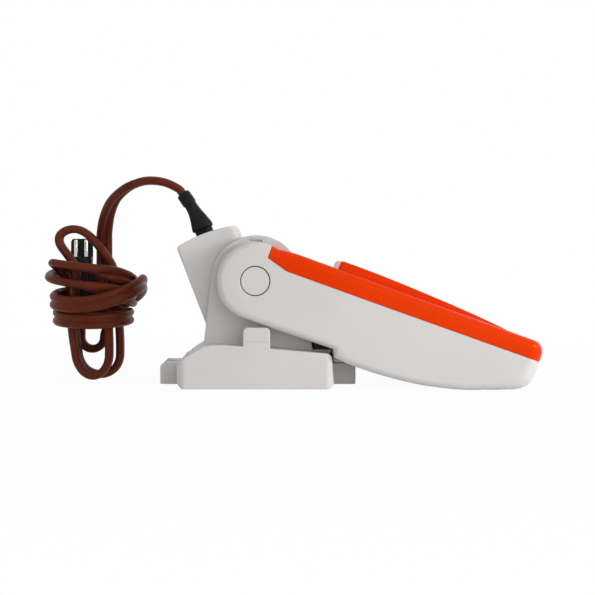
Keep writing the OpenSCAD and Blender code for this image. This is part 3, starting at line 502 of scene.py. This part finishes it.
def copied(node):
    """A copy of a node's solid, merged into one closed mesh."""
    bm = bmesh.new()
    bm.from_mesh(frame["nodes"][node].data)
    bmesh.ops.remove_doubles(bm, verts=bm.verts, dist=5e-6)
    return bm


def softened(bm, width, segments, spared=lambda point: False, steep=40):
    """The sharp edges of the mesh, rounded, apart from those whose two ends are to be spared."""
    edges = [e for e in bm.edges if e.is_manifold and e.calc_face_angle(0) > radians(steep)
             and not all(spared(v.co) for v in e.verts)]
    bmesh.ops.bevel(bm, geom=edges, offset=width, offset_type="OFFSET", segments=segments, profile=0.5,
                    affect="EDGES", clamp_overlap=False, material=-1)
    return bm


# half the length of each, the depth at which it starts, and its lowest and highest edge
tab_crease = (0.0061, 0.0396, 0.0238, 0.0247)
barrel_slot = (0.0036, 0, 0.0746, 0.0758)


def in_slot(point):
    """A place on the crease in a tab or on the slot at the top of the barrel, which are too fine to be rounded."""
    return any(abs(point.x) < half and abs(point.y) >= start and low < point.z < high
               for half, start, low, high in (tab_crease, barrel_slot))


base_round = 0.0005
finished("base_moulding", softened(copied("base_shell"), base_round, 3, in_slot), "base", "body_plastic", body_plastic,
         "base_shell", weighted=True)

# ---- rest pad, painted shade ----
# A dark brown pad on the ridge of the block, cut to the slope of the arm that comes down over it. Its dark colour
# is painted shade: a dark piece that stands in for the shade under the arm. It is glued into a low seat of the same
# plastic as the base.


def bar(profile, half, width, segments):
    """A straight bar with a profile of x and z in millimetres, from side to side of the middle, its edges rounded."""
    bm = bmesh.new()
    near = bm.faces.new([bm.verts.new((x / 1000, -half, z / 1000)) for x, z in profile])
    grown = bmesh.ops.extrude_face_region(bm, geom=[near])["geom"]
    bmesh.ops.translate(bm, verts=[g for g in grown if isinstance(g, bmesh.types.BMVert)], vec=(0, 2 * half, 0))
    bmesh.ops.recalc_face_normals(bm, faces=bm.faces)
    return softened(bm, width, segments, steep=20)


# painted shade: the pad's dark brown stands in for the shade under the arm
shade_pad_brown = (0.062, 0.036, 0.034)
painted_shade_pad = finish("painted_shade_pad", shade_pad_brown, 0.6, Specular_IOR_Level=0.2)
tinted(painted_shade_pad, cloudy(painted_shade_pad, 400), shade(shade_pad_brown, 0.75), shade(shade_pad_brown, 1.3))
relief(painted_shade_pad, cloudy(painted_shade_pad, 1800), 0.00004)
seat_profile = [(29.3, 18.2), (38.5, 18.2), (38.5, 19.6), (29.3, 19.6)]
seat_half, seat_round = 0.0262, 0.0004
pad_profile = [(29.7, 19.3), (38.3, 19.3), (38.3, 20.2), (37.9, 20.5), (31.2, 22.9), (29.7, 22.9)]
pad_half, pad_round = 0.0235, 0.0003
finished("rest_seat", bar(seat_profile, seat_half, seat_round, 2), "base", "body_plastic", body_plastic)
finished("rest_shade_pad", bar(pad_profile, pad_half, pad_round, 2), "base", "black_rubber", painted_shade_pad)

# ---- cable box ----
# A leaning housing for the flex's entry, moulded in the same plastic as the base, and its service lid at the
# back, which two screws hold.
box_round, lid_round = 0.0004, 0.0003
finished("cable_housing", softened(copied("cable_box"), box_round, 2), "base", "body_plastic", body_plastic,
         "cable_box", weighted=True)
finished("housing_lid", softened(copied("box_lid"), lid_round, 2), "base", "body_plastic", body_plastic, "box_lid",
         weighted=True)

# ---- arm shell ----
# The forked, hollow arm, one moulding in the same plastic. Its two cheeks turn on the pivot shaft, and a rib
# under the root of the fork closes the gap over the front screw ear.
arm_round = 0.0003
arm_shell = finished("arm_moulding", softened(copied("arm_shell"), arm_round, 2), "arm", "body_plastic", body_plastic,
                     "arm_shell", weighted=True)

# painted shade: the faces in the gap round each pivot cap take a dark plastic that stands in for the shade falling
# into the gap
pivot = Vector((0, 0, 0.055))
cap_gap_inner, cap_gap_outer, cheek_face = 0.0068, 0.0077, 0.0417
painted_gap_shade = finish("painted_gap_shade", (0.1, 0.09, 0.085), 0.7, Specular_IOR_Level=0.2)
tinted(painted_gap_shade, cloudy(painted_gap_shade, 300), (0.06, 0.055, 0.05), (0.15, 0.14, 0.13))
arm_shell.data.materials.append(painted_gap_shade)
for face in arm_shell.data.polygons:
    middle = face.center - pivot
    if abs(middle.y) < cheek_face and cap_gap_inner < Vector((middle.x, middle.z)).length < cap_gap_outer:
        face.material_index = 1

# the rib under the fork's root
lip_profile = [(39.75, 16.8), (39.75, 13.4), (40.4, 12.6), (44.4, 12.6), (44.9, 13.4), (44.9, 15)]
lip_half, lip_round = 0.02, 0.0004
finished("rest_lip", bar(lip_profile, lip_half, lip_round, 2), "arm", "body_plastic", body_plastic)

# ---- orange cover and tread ----
# The cover is a glossy orange moulding that four screws hold on the arm. The tread stands in its well, with
# grip grooves across it, and turns on a pin at its heel end.
orange = (0.75, 0.034, 0.001)
orange_plastic = finish("orange_plastic", orange, 0.22, Specular_IOR_Level=0.18, Specular_Tint=(1, 0.5, 0.15, 1))
tinted(orange_plastic, cloudy(orange_plastic, 14), shade(orange, 0.96), shade(orange, 1.04))
polished(orange_plastic, cloudy(orange_plastic, 180), 0.2, 0.3)
relief(orange_plastic, cloudy(orange_plastic, 40, detail=1), 0.00015)
cover_round, tread_round = 0.00015, 0.0004
finished("orange_cover", softened(copied("tread_cover"), cover_round, 2), "arm", "orange_plastic", orange_plastic,
         "tread_cover", weighted=True)
finished("tread", softened(copied("tread_plate"), tread_round, 2), "tread", "orange_plastic", orange_plastic,
         "tread_plate", weighted=True)

# ---- tread springs ----
# Two coils of spring wire, ground flat at both ends, stand on pads of the arm and carry the toe end of the
# tread.
spring_steel = finish("spring_steel", (0.35, 0.36, 0.38), 0.3, Metallic=1)
polished(spring_steel, cloudy(spring_steel, 700), 0.25, 0.42)
arm_slope = radians(20)
arm_along = Vector((cos(arm_slope), 0, -sin(arm_slope)))
arm_up = Vector((sin(arm_slope), 0, cos(arm_slope)))
spring_wire_r, spring_r, spring_turns, spring_height = 0.0006, 0.004, 7, 0.0217
spring_from_pivot, spring_aside = 0.052, 0.022
spring_steps, wire_sides = 24, 10
end_gap, end_rise, end_share = 1.1 * spring_wire_r, 1.6 * spring_wire_r, 0.06
for name, side in (("spring_near", -1), ("spring_far", 1)):
    foot = pivot + away * side * spring_aside + arm_along * spring_from_pivot
    coil = []
    for k in range(spring_steps * spring_turns + 1):
        a, share = 2 * pi * k / spring_steps, k / spring_steps / spring_turns
        climbed = ease(end_share, 1 - end_share, share) * (spring_height - 2 * end_gap - end_rise)
        coil.append(foot + (arm_along * cos(a) + away * sin(a)) * spring_r
                    + arm_up * (end_gap + end_rise * share + climbed))
    wire = [(x * spring_wire_r, y * spring_wire_r) for x, y in soft_oblong(2, wire_sides)]
    spring = finished(name, drawn(wire, stations(coil, [arm_up] * len(coil))), "arm", "spring_steel", spring_steel,
                      "tread_" + name, sharp=60)
    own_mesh(spring)

# ---- the smaller parts ----
# Feet and heel pad of grey rubber, zinc-plated screws and shaft, a painted bottom plate, nylon bushes and clamps,
# and the circuit board with its leads. They are bought-in parts, screwed, clipped or pressed into the mouldings.
grey_rubber = finish("grey_rubber", (0.42, 0.41, 0.4), 0.7)
relief(grey_rubber, cloudy(grey_rubber, 1400), 0.00005)
tinted(grey_rubber, cloudy(grey_rubber, 120), (0.38, 0.37, 0.36), (0.46, 0.45, 0.44))
zinc = finish("bright_steel", (0.6, 0.61, 0.62), 0.28, Metallic=1)
polished(zinc, cloudy(zinc, 900, stretch=(1, 1, 0.2)), 0.22, 0.4)
plate_paint = finish("plate_steel", (0.16, 0.17, 0.18), 0.45)
relief(plate_paint, cloudy(plate_paint, 900), 0.00004)
tinted(plate_paint, cloudy(plate_paint, 60), (0.15, 0.16, 0.17), (0.18, 0.19, 0.2))
nylon = finish("nylon", (0.7, 0.67, 0.58), 0.45, Subsurface_Weight=0.15)
tinted(nylon, cloudy(nylon, 120), (0.66, 0.63, 0.54), (0.72, 0.69, 0.6))
relief(nylon, cloudy(nylon, 1200), 0.00004)
board_green = finish("board_green", (0.02, 0.12, 0.04), 0.32)
tinted(board_green, cloudy(board_green, 260), (0.016, 0.1, 0.034), (0.026, 0.14, 0.05))
board_black = finish("board_black", (0.02, 0.02, 0.022), 0.4)
polished(board_black, cloudy(board_black, 300), 0.34, 0.5)
sheath = finish("lead_sheath", (0.02, 0.018, 0.016), 0.45)
polished(sheath, cloudy(sheath, 500), 0.38, 0.55)
for node, material in {
        "base_plate": plate_paint, "base_screws": zinc, "rubber_foot_1": grey_rubber, "rubber_foot_2": grey_rubber,
        "rubber_foot_3": grey_rubber, "rubber_foot_4": grey_rubber, "box_lid_screws": zinc, "cord_clamp": nylon,
        "cord_clamp_screws": zinc, "terminal_block": nylon, "inner_leads": sheath, "pivot_shaft": zinc,
        "shaft_clip_near": spring_steel, "shaft_clip_far": spring_steel, "cover_screws": zinc, "hub_bush_near": nylon,
        "hub_bush_far": nylon, "hub_cap_near": body_plastic, "hub_cap_far": body_plastic, "heel_pad": grey_rubber,
        "control_board": board_green, "board_screws": zinc, "board_parts": board_black, "slide_sensor": nylon,
        "sensor_lead": sheath, "tread_pin": zinc, "sensor_slider": nylon}.items():
    held = frame["nodes"][node]
    held.data.materials.clear()
    held.data.materials.append(material)

# ---- floor and light ----
# A plain white sheet lies under the pedal. A large soft lamp stands beyond its right end, and weaker ones before
# it and above. The sheet and the room show themselves white, and the sheet keeps a trace of shadow.


def whitened(tree, plain, out, amount=None):
    """White for the camera and in reflections, up to the amount, and the plain shader for all other light."""
    nodes, link = tree.nodes, tree.links.new
    ray = nodes.new("ShaderNodeLightPath")
    most = nodes.new("ShaderNodeMath")
    most.operation = "MAXIMUM"
    link(ray.outputs["Is Camera Ray"], most.inputs[0])
    link(ray.outputs["Is Glossy Ray"], most.inputs[1])
    seen = nodes.new("ShaderNodeMath")
    seen.operation = "MAXIMUM"
    link(most.outputs[0], seen.inputs[0])
    link(ray.outputs["Is Transmission Ray"], seen.inputs[1])
    share = nodes.new("ShaderNodeMath")
    share.operation = "MULTIPLY"
    share.inputs[1].default_value = 1
    link(seen.outputs[0], share.inputs[0])
    if amount:
        link(amount, share.inputs[1])
    white = nodes.new("ShaderNodeEmission")
    white.inputs["Color"].default_value = (1, 1, 1, 1)
    both = nodes.new("ShaderNodeMixShader")
    link(share.outputs[0], both.inputs["Fac"])
    link(plain, both.inputs[1])
    link(white.outputs["Emission"], both.inputs[2])
    link(both.outputs["Shader"], out)


floor_half, floor_drop = 3, 0.0002
shade_from, shade_to, shade_amount = 0.12, 0.45, 0.95
sheet_white = bpy.data.materials.new("floor_white")
sheet_white.use_nodes = True
nodes = sheet_white.node_tree.nodes
nodes["Principled BSDF"].inputs["Base Color"].default_value = (0.94, 0.94, 0.94, 1)
nodes["Principled BSDF"].inputs["Roughness"].default_value = 0.9
reach = nodes.new("ShaderNodeVectorMath")
reach.operation = "LENGTH"
from_middle = nodes.new("ShaderNodeTexCoord").outputs["Object"]
sheet_white.node_tree.links.new(from_middle, reach.inputs[0])
whitened(sheet_white.node_tree, nodes["Principled BSDF"].outputs["BSDF"], nodes["Material Output"].inputs["Surface"],
         ranged(sheet_white, reach.outputs["Value"], shade_amount, 1, shade_from, shade_to))
floor_shape = bmesh.new()
bmesh.ops.create_grid(floor_shape, x_segments=2, y_segments=2, size=floor_half)
bmesh.ops.translate(floor_shape, verts=floor_shape.verts, vec=(0, 0, -floor_drop))
floor_mesh = bpy.data.meshes.new("floor")
floor_shape.to_mesh(floor_mesh)
floor_shape.free()
floor_mesh.materials.append(sheet_white)
floor = bpy.data.objects.new("floor", floor_mesh)
scene.collection.objects.link(floor)

world = bpy.data.worlds.new("studio")
scene.world = world
world.use_nodes = True
nodes = world.node_tree.nodes
nodes["Background"].inputs["Color"].default_value = (0.97, 0.98, 1, 1)
nodes["Background"].inputs["Strength"].default_value = 0.53
whitened(world.node_tree, nodes["Background"].outputs["Background"], nodes["World Output"].inputs["Surface"])
lit_point = Vector((0.02, 0, 0.04))
for name, place, size, power in (("key_lamp", (1.1, -0.5, 0.3), 0.45, 7.6), ("front_lamp", (0.5, -1.1, 0.35), 0.9, 3),
                                 ("top_lamp", (0.1, -0.1, 0.9), 0.8, 0.3)):
    lamp = bpy.data.lights.new(name, "AREA")
    lamp.shape = "DISK"
    lamp.size = size
    lamp.energy = power
    holder = bpy.data.objects.new(name, lamp)
    holder.location = place
    holder.rotation_euler = (lit_point - Vector(place)).to_track_quat("-Z", "Y").to_euler()
    scene.collection.objects.link(holder)
scene.view_settings.view_transform = "Standard"
